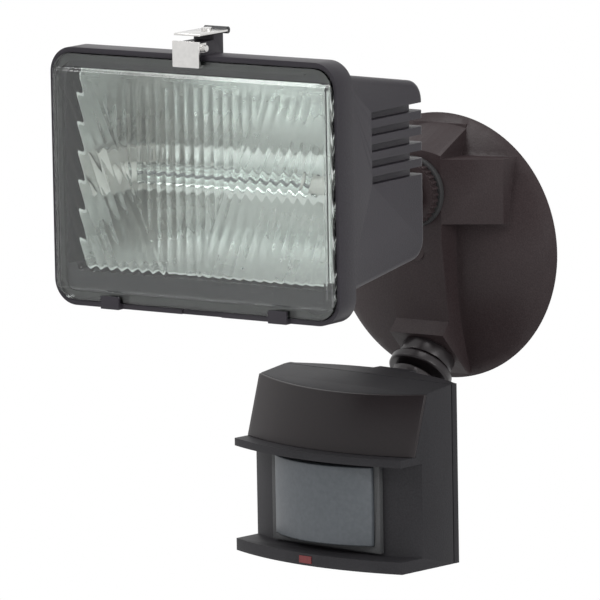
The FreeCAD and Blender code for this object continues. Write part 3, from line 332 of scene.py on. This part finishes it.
BRASS = Finish("Brass", (0.60, 0.42, 0.16, 1.0), (0.80, 0.62, 0.30, 1.0), 0.3, 1.0, 700.0, 0.3, 0.05)
TUNGSTEN = Finish("Tungsten", (0.18, 0.18, 0.19, 1.0), (0.32, 0.32, 0.33, 1.0), 0.4, 1.0, 900.0, 0.3, 0.1)
LENS = Finish("Lens plastic", (0.060, 0.068, 0.076, 1.0), (0.105, 0.116, 0.128, 1.0), 0.36, 0.0, 500.0, 0.3, 0.06,
              grain=Grain.MOULDED)
RECESS = Finish("Recess plastic", (0.042, 0.042, 0.044, 1.0), (0.075, 0.078, 0.078, 1.0), 0.5, 0.0, 1300.0, 0.3, 0.16)
LED = Finish("Red window", (0.10, 0.008, 0.010, 1.0), (0.22, 0.02, 0.02, 1.0), 0.18, 0.0, 500.0, 0.3, 0.02)
BOARD = Finish("Board green", (0.02, 0.10, 0.035, 1.0), (0.05, 0.18, 0.07, 1.0), 0.35, 0.0, 500.0, 0.3, 0.04)
BLACK = Finish("Black part", (0.015, 0.015, 0.016, 1.0), (0.04, 0.04, 0.042, 1.0), 0.45, 0.0, 1000.0, 0.3, 0.1)
PRESSED_GLASS = GlassFinish("Pressed glass", (0.87, 0.93, 0.90, 1.0), 0.05, 1.5, 0.15)
QUARTZ = GlassFinish("Quartz glass", (0.93, 0.96, 0.95, 1.0), 0.02, 1.46)

NODE_FINISHES: dict[str, Finish | GlassFinish] = {
    "wall_plate": BRONZE, "wall_gasket": RUBBER, "mounting_strap": ZINC, "mounting_bolt": ZINC, "bolt_plug": BRONZE,
    "arm_washer": RUBBER, "arm_lock_nut": BRONZE, "lamp_arm": BRONZE, "tilt_bolt": ZINC, "tilt_nut": ZINC,
    "tilt_washer_left": ZINC, "tilt_washer_right": ZINC, "lamp_housing": HEAD, "head_lug": HEAD,
    "lug_screws": ZINC, "lens_gasket": RUBBER, "glass_lens": PRESSED_GLASS, "reflector": MIRROR,
    "reflector_screws": ZINC, "holder_screws": ZINC, "lamp_tube": QUARTZ, "lamp_filament": TUNGSTEN,
    "lamp_cap_left": CERAMIC, "lamp_cap_right": CERAMIC, "lamp_holder_left": CERAMIC, "lamp_holder_right": CERAMIC,
    "contact_left": BRASS, "contact_right": BRASS, "latch_clip": CHROME, "latch_pin": CHROME,
    "latch_spring": CHROME, "latch_rivet": CHROME, "latch_roll": BLACK, "sensor_lock_nut": SWIVEL,
    "sensor_stem": SWIVEL, "swivel_clamp_nut": SWIVEL, "sensor_housing": CASE, "sensor_back_cover": CASE,
    "cover_screws": ZINC, "visor_panel": VISOR, "fresnel_lens": LENS, "lens_frame": RECESS, "led_window": LED,
    "status_led": LED, "circuit_board": BOARD, "pir_detector": ZINC, "relay": BLACK, "capacitor": BLACK,
    "on_time_switch": BLACK, "range_knob": BLACK,
}


def choose_none() -> None:
    """Deselect every object."""
    if bpy.context.object and bpy.context.object.mode != "OBJECT":
        bpy.ops.object.mode_set(mode="OBJECT")
    bpy.ops.object.select_all(action="DESELECT")


def activate(piece: bpy.types.Object) -> None:
    """Make one object the only selected and active one."""
    choose_none()
    piece.select_set(True)
    bpy.context.view_layer.objects.active = piece


def dress(piece: bpy.types.Object, finish: Finish | GlassFinish) -> None:
    """Give an object one finish over all its faces.

    Args:
        piece: The object.
        finish: The finish to make and assign.
    """
    material = finish.make()
    if not piece.material_slots:
        piece.data.materials.append(material)
    for slot in piece.material_slots:
        slot.material = material


def apply_modifier(piece: bpy.types.Object, kind: str, **settings: object) -> None:
    """Add a modifier, set it and apply it.

    Args:
        piece: The object.
        kind: The modifier's type.
        settings: Property names and values.
    """
    activate(piece)
    modifier = piece.modifiers.new(kind.title(), kind)
    for name, setting in settings.items():
        setattr(modifier, name, setting)
    bpy.ops.object.modifier_apply(modifier=modifier.name)


def merged_copy(node: str, name: str) -> bpy.types.Object:
    """Copy a CAD node and merge its triangles into clean faces.

    Args:
        node: The node to copy.
        name: The copy's name.

    Returns:
        The copy, which still carries the node's place in its mesh.
    """
    source = bpy.data.objects[node]
    piece = source.copy()
    piece.data = source.data.copy()
    piece.name = name
    for held in list(piece.keys()):
        del piece[held]
    bpy.context.collection.objects.link(piece)
    activate(piece)
    bpy.ops.object.mode_set(mode="EDIT")
    bpy.ops.mesh.select_all(action="SELECT")
    bpy.ops.mesh.remove_doubles(threshold=MERGE_GAP * MM)
    bpy.ops.mesh.dissolve_limited(angle_limit=math.radians(FLAT_ANGLE))
    bpy.ops.object.mode_set(mode="OBJECT")
    return piece


def softened(node: str, body: str, finish: Finish | GlassFinish, width: float) -> bpy.types.Object:
    """Stand a copy with rounded edges in for a CAD node.

    Args:
        node: The node.
        body: The body that the piece rides on.
        finish: Its finish.
        width: Width of the rounded edges in millimetres.

    Returns:
        The new piece.
    """
    piece = merged_copy(node, f"{node}_rounded")
    apply_modifier(piece, "BEVEL", width=width * MM, segments=BEVEL_STEPS, limit_method="ANGLE",
                   angle_limit=math.radians(BEVEL_ANGLE), use_clamp_overlap=True, miter_outer="MITER_ARC")
    activate(piece)
    bpy.ops.object.shade_smooth_by_angle(angle=math.radians(SMOOTH_ANGLE))
    dress(piece, finish)
    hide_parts(node)
    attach(piece, body)
    LOG.info("rounded %s", node)
    return piece


def finish_piece(piece: bpy.types.Object, body: str, finish: Finish | GlassFinish,
                 angle: float = 35.0) -> None:
    """Smooth, dress and place a new piece on its body.

    Args:
        piece: The piece.
        body: The body it rides on.
        finish: Its finish.
        angle: Edges sharper than this stay sharp, in degrees.
    """
    activate(piece)
    bpy.ops.object.transform_apply(location=True, rotation=True, scale=True)
    bpy.ops.object.shade_smooth_by_angle(angle=math.radians(angle))
    dress(piece, finish)
    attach(piece, body)
    LOG.info("made %s", piece.name)


@dataclass
class Studio:
    """Camera, lamps, pale floor and white surround. Angles are in degrees, lengths in metres."""

    azimuth: float = 34.596
    elevation: float = 8.675
    roll: float = -1.009
    distance: float = 3.69092
    focal_pixels: float = 7777.73
    frame_pixels: float = 600.0
    shift_right: float = 0.068585
    shift_up: float = 0.026152
    floor_drop: float = 0.34

    def build(self) -> None:
        """Set up the whole studio."""
        self.camera()
        self.lamps()
        self.surround()

    def camera(self) -> None:
        """Place the camera at the photograph's angle."""
        side, up = math.radians(self.azimuth), math.radians(self.elevation)
        back = Vector((math.sin(side) * math.cos(up), -math.cos(side) * math.cos(up), math.sin(up)))
        level = Vector((math.cos(side), math.sin(side), 0.0))
        rise = back.cross(level)
        lean = math.radians(self.roll)
        right = math.cos(lean) * level + math.sin(lean) * rise
        top = math.cos(lean) * rise - math.sin(lean) * level
        place = -self.shift_right * right - self.shift_up * top + self.distance * back
        data = bpy.data.cameras.new("Camera")
        data.sensor_width = 36.0
        data.lens = self.focal_pixels / self.frame_pixels * data.sensor_width
        data.clip_end = 60.0
        camera = bpy.data.objects.new("Camera", data)
        bpy.context.collection.objects.link(camera)
        camera.matrix_world = Matrix(((right.x, top.x, back.x, place.x), (right.y, top.y, back.y, place.y),
                                      (right.z, top.z, back.z, place.z), (0.0, 0.0, 0.0, 1.0)))
        bpy.context.scene.camera = camera

    def lamps(self) -> None:
        """Hang soft lamps about the light."""
        self.lamp("Key lamp", (-0.9, -1.7, 1.5), 26.0, 1.1)
        self.lamp("Side lamp", (1.9, -0.7, 0.7), 15.0, 1.0)
        self.lamp("Top lamp", (0.2, -0.1, 1.9), 13.0, 1.2)
        self.lamp("Low lamp", (0.5, -1.6, -0.25), 3.0, 0.9)

    def lamp(self, name: str, place: tuple[float, float, float], power: float, size: float) -> None:
        """Add one square lamp that faces the object.

        Args:
            name: The lamp's name.
            place: Where it hangs, in metres.
            power: Its power in watts.
            size: The length of its side in metres.
        """
        data = bpy.data.lights.new(name, "AREA")
        data.energy = power
        data.size = size
        lamp = bpy.data.objects.new(name, data)
        bpy.context.collection.objects.link(lamp)
        lamp.location = place
        aim = Vector((0.0, -0.11, 0.0)) - Vector(place)
        lamp.rotation_euler = aim.to_track_quat("-Z", "Y").to_euler()

    def surround(self) -> None:
        """Make the pale floor and the world's white background."""
        choose_none()
        bpy.ops.mesh.primitive_plane_add(size=14.0, location=(0.0, 0.0, -self.floor_drop))
        floor = bpy.context.object
        floor.name = "Floor"
        material = bpy.data.materials.new("Pale floor")
        material.use_nodes = True
        nodes, links = material.node_tree.nodes, material.node_tree.links
        shader = nodes["Principled BSDF"]
        shader.inputs["Base Color"].default_value = (0.82, 0.82, 0.82, 1.0)
        shader.inputs["Roughness"].default_value = 0.8
        glow = nodes.new("ShaderNodeEmission")
        mix = nodes.new("ShaderNodeMixShader")
        links.new(self.seen(nodes, links), mix.inputs["Fac"])
        links.new(shader.outputs["BSDF"], mix.inputs[1])
        links.new(glow.outputs["Emission"], mix.inputs[2])
        links.new(mix.outputs["Shader"], nodes["Material Output"].inputs["Surface"])
        floor.data.materials.append(material)
        world = bpy.data.worlds.new("World")
        bpy.context.scene.world = world
        world.use_nodes = True
        nodes, links = world.node_tree.nodes, world.node_tree.links
        dim = nodes["Background"]
        dim.inputs["Color"].default_value = (0.9, 0.92, 0.95, 1.0)
        dim.inputs["Strength"].default_value = 0.45
        white = nodes.new("ShaderNodeBackground")
        white.inputs["Color"].default_value = (1.0, 1.0, 1.0, 1.0)
        mix = nodes.new("ShaderNodeMixShader")
        links.new(self.seen(nodes, links), mix.inputs["Fac"])
        links.new(dim.outputs["Background"], mix.inputs[1])
        links.new(white.outputs["Background"], mix.inputs[2])
        links.new(mix.outputs["Shader"], nodes["World Output"].inputs["Surface"])
        bpy.context.scene.view_settings.view_transform = "Standard"

    @staticmethod
    def seen(nodes: bpy.types.Nodes, links: bpy.types.NodeLinks) -> bpy.types.NodeSocket:
        """Tell rays from the camera, off a gloss or through glass from those that light the object.

        Args:
            nodes: The tree's nodes.
            links: The tree's links.

        Returns:
            A factor of 1 for such rays.
        """
        path = nodes.new("ShaderNodeLightPath")
        most = nodes.new("ShaderNodeMath")
        most.operation = "MAXIMUM"
        links.new(path.outputs["Is Camera Ray"], most.inputs[0])
        links.new(path.outputs["Is Transmission Ray"], most.inputs[1])
        either = nodes.new("ShaderNodeMath")
        either.operation = "MAXIMUM"
        links.new(most.outputs["Value"], either.inputs[0])
        links.new(path.outputs["Is Glossy Ray"], either.inputs[1])
        return either.outputs["Value"]


@dataclass
class LampHead:
    """The cast head with its pressed glass and latch. Lengths are in millimetres, leans in degrees."""

    pitch: float = 5.35
    flute_depth: float = 0.42
    prism_pitch: float = 1.5
    field_half: float = 72.0
    field_top: float = 44.8
    field_low: float = -46.6
    rise: float = 2.0
    left_lean: float = 23.5
    right_lean: float = 19.0
    fan_left: tuple[tuple[float, float], ...] = ((-51.2, 45.0), (-27.0, -13.6), (-11.1, -46.9))
    fan_right: tuple[tuple[float, float], ...] = ((42.8, 45.0), (14.1, -10.9), (0.6, -46.9))
    side_fade: float = 6.0
    rim_fade: float = 0.8
    border_out: float = 5.2
    border_in: float = 1.4
    border_fall: float = 1.2
    border_share: float = 0.55
    ridge_high: float = 0.28
    field_share: float = 0.78
    crest_share: float = 0.22
    corner: float = 9.6
    grid: tuple[int, int] = (330, 150)

    def build(self) -> None:
        """Build and dress the head's pieces."""
        softened("lamp_housing", "lamp_head", HEAD, 0.55)
        softened("head_lug", "lamp_head", HEAD, 0.5)
        softened("latch_clip", "latch", CHROME, 0.25)
        softened("latch_spring", "lamp_head", CHROME, 0.25)
        self.glass()

    @staticmethod
    def edge_at(points: tuple[tuple[float, float], ...], height: float) -> float:
        """Find where a fan's edge lies at a height.

        Args:
            points: The edge's points from top to bottom, in millimetres.
            height: The height above the lamp axis.

        Returns:
            The edge's place across the glass.
        """
        for (x_high, z_high), (x_low, z_low) in zip(points, points[1:]):
            if height >= z_low:
                return x_low + (x_high - x_low) * (height - z_low) / (z_high - z_low)
        return points[-1][0]

    def flute(self, x: float, z: float) -> float:
        """Give the height of the pressed pattern above the glass's rim.

        Args:
            x: Place across the glass in millimetres.
            z: Height above the lamp axis in millimetres.

        Returns:
            The height in millimetres.
        """
        out = max(abs(x) - self.field_half, z - self.field_top, self.field_low - z)
        if out > self.border_out:
            return 0.0
        if out > self.border_in:
            fall = min(1.0, (self.border_out - out) / self.border_fall)
            ridge = 0.5 + 0.5 * math.cos(2.0 * math.pi * out / self.prism_pitch)
            return fall * (self.rise * self.border_share + self.ridge_high * ridge)
        if out > 0.0:
            return self.rise * self.field_share
        left, right = self.edge_at(self.fan_left, z), self.edge_at(self.fan_right, z)
        if x < left:
            across = x + (z - self.field_low) * math.tan(math.radians(self.left_lean))
            across *= math.cos(math.radians(self.left_lean))
        elif x > right:
            across = x - (z - self.field_low) * math.tan(math.radians(self.right_lean))
            across *= math.cos(math.radians(self.right_lean))
        else:
            across = x
        wave = abs(math.cos(math.pi * across / self.pitch))
        rim = min(1.0, -out / self.rim_fade, (self.field_half - abs(x)) / self.side_fade)
        crest = self.rise * self.crest_share - self.flute_depth * (1.0 - wave)
        return self.rise * self.field_share + rim * crest

    def glass(self) -> None:
        """Press the flutes, the prism border and the rounded rim into one sheet of glass."""
        low, high = (Vector(corner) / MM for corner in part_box("glass_lens"))
        middle = (low + high) / 2.0
        axis = frame_axis()
        half_x, half_z = (high.x - low.x) / 2.0, (high.z - low.z) / 2.0
        rim_front, back = low.y + self.rise, high.y
        choose_none()
        bpy.ops.mesh.primitive_grid_add(x_subdivisions=self.grid[0], y_subdivisions=self.grid[1], size=2.0)
        piece = bpy.context.object
        piece.name = "pressed_glass"
        for vertex in piece.data.vertices:
            x, z = vertex.co.x * half_x, vertex.co.y * half_z
            x, z = self.rounded_corner(x, z, half_x, half_z, self.corner)
            height = self.flute(x, z + middle.z - axis)
            vertex.co = Vector((x + middle.x, rim_front - height, z + middle.z)) * MM
        activate(piece)
        bpy.ops.object.mode_set(mode="EDIT")
        bpy.ops.mesh.select_all(action="SELECT")
        bpy.ops.mesh.region_to_loop()
        bpy.ops.mesh.extrude_edges_move(TRANSFORM_OT_translate={"value": (0.0, (back - rim_front) * MM, 0.0)})
        bpy.ops.mesh.edge_face_add()
        bpy.ops.mesh.select_all(action="SELECT")
        bpy.ops.mesh.normals_make_consistent(inside=False)
        bpy.ops.object.mode_set(mode="OBJECT")
        finish_piece(piece, "lens_cover", PRESSED_GLASS, 50.0)
        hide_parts("glass_lens")

    @staticmethod
    def rounded_corner(x: float, z: float, half_x: float, half_z: float, corner: float) -> tuple[float, float]:
        """Draw a point of a rectangle in so that the rectangle gets round corners.

        Args:
            x: Place across.
            z: Place up.
            half_x: Half the width.
            half_z: Half the height.
            corner: The corners' radius.

        Returns:
            The moved point.
        """
        over_x, over_z = abs(x) - (half_x - corner), abs(z) - (half_z - corner)
        if over_x <= 0.0 or over_z <= 0.0:
            return x, z
        reach = max(over_x, over_z) / math.hypot(over_x, over_z)
        new_x = half_x - corner + over_x * reach
        new_z = half_z - corner + over_z * reach
        return math.copysign(new_x, x), math.copysign(new_z, z)


def frame_axis() -> float:
    """Give the height of the lamp's axis in millimetres, from the tube."""
    low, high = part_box("lamp_tube")
    return (low[2] + high[2]) / 2.0 / MM


@dataclass
class Canopy:
    """The wall canopy and the arm's foot."""

    edge: float = 0.45

    def build(self) -> None:
        """Round the canopy's cast edges and dress the arm."""
        softened("wall_plate", "canopy", BRONZE, self.edge)
        softened("arm_washer", "canopy", RUBBER, 0.5)
        softened("lamp_arm", "arm", BRONZE, 0.5)
        softened("arm_lock_nut", "arm_nut", BRONZE, 0.2)


@dataclass
class Sensor:
    """The sensor and its slanted ball joint."""

    edge: float = 0.7

    def build(self) -> None:
        """Round the sensor's edges."""
        softened("sensor_housing", "sensor", CASE, self.edge)
        softened("sensor_back_cover", "sensor", CASE, self.edge)
        softened("visor_panel", "sensor", VISOR, 0.4)
        softened("lens_frame", "sensor", RECESS, 0.4)
        softened("fresnel_lens", "sensor", LENS, 0.6)
        softened("sensor_lock_nut", "stem_nut", SWIVEL, 0.5)
        softened("sensor_stem", "stem", SWIVEL, 0.3)
        softened("swivel_clamp_nut", "clamp_nut", SWIVEL, 0.5)


def main() -> None:
    """Load the frame, dress it and set up the studio."""
    logging.basicConfig(level=logging.INFO)
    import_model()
    choose_none()
    speckle_group()
    edge_group()
    for node, finish in NODE_FINISHES.items():
        dress(bpy.data.objects[node], finish)
    for assembly in (Canopy(), LampHead(), Sensor()):
        assembly.build()
        LOG.info("built %s", type(assembly).__name__)
    Studio().build()
    choose_none()


if __name__ == "__main__":
    main()
